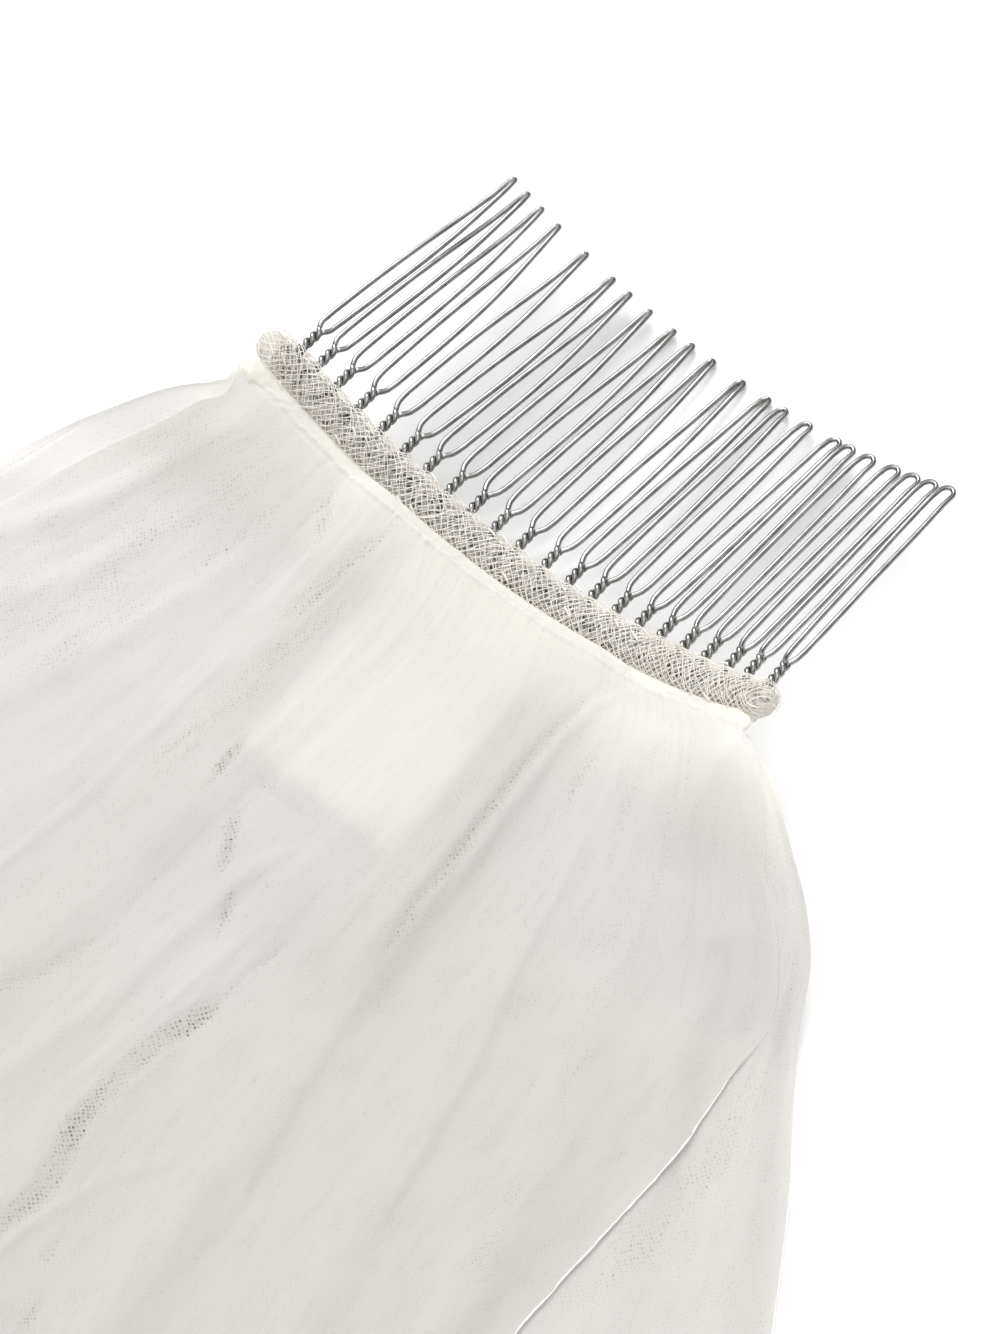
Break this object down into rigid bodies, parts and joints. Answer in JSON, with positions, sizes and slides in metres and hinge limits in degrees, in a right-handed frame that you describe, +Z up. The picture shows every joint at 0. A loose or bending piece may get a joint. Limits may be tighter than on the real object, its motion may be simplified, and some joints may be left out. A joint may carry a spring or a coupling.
{
  "type": "bridal veil",
  "caption": "Tiered bridal veil of fine soft net, gathered onto a curved steel wire hair comb and laid out flat in a fan.",
  "frame": {"origin": "middle of the veil's base, on the surface that it lies on", "axes": "+X along the comb from its first tooth to its last, +Y from the hems to the tips of the teeth, +Z up"},
  "size_m": [0.91, 0.697, 0.0199],
  "materials": {
    "steel_wire": "bright drawn steel wire, polished, with a hard narrow highlight along each leg",
    "net_wrap": "ivory-white net wound in several layers, half see-through, with small irregular meshes",
    "rolled_net": "cream net rolled and gathered tight, matt with fine ridges",
    "veil_net": "soft ivory-white bridal net, sheer, matt, thicker-looking where it is gathered",
    "label_satin": "plain white satin label, bare, with a soft sheen"
  },
  "bodies": {
    "root": {"comb_spine": "steel_wire", "tooth_01": "steel_wire", "tooth_02": "steel_wire", "tooth_03": "steel_wire", "tooth_04": "steel_wire", "tooth_05": "steel_wire", "tooth_06": "steel_wire", "tooth_07": "steel_wire", "tooth_08": "steel_wire", "tooth_09": "steel_wire", "tooth_10": "steel_wire", "tooth_11": "steel_wire", "tooth_12": "steel_wire", "tooth_13": "steel_wire", "tooth_14": "steel_wire", "tooth_15": "steel_wire", "tooth_16": "steel_wire", "tooth_17": "steel_wire", "tooth_18": "steel_wire", "tooth_19": "steel_wire", "tooth_20": "steel_wire", "tooth_21": "steel_wire", "tooth_22": "steel_wire", "net_wrap": "net_wrap", "seam_ridge": "rolled_net", "lower_tier": "veil_net", "upper_tier": "veil_net", "label": "label_satin"}
  },
  "joints": []
}
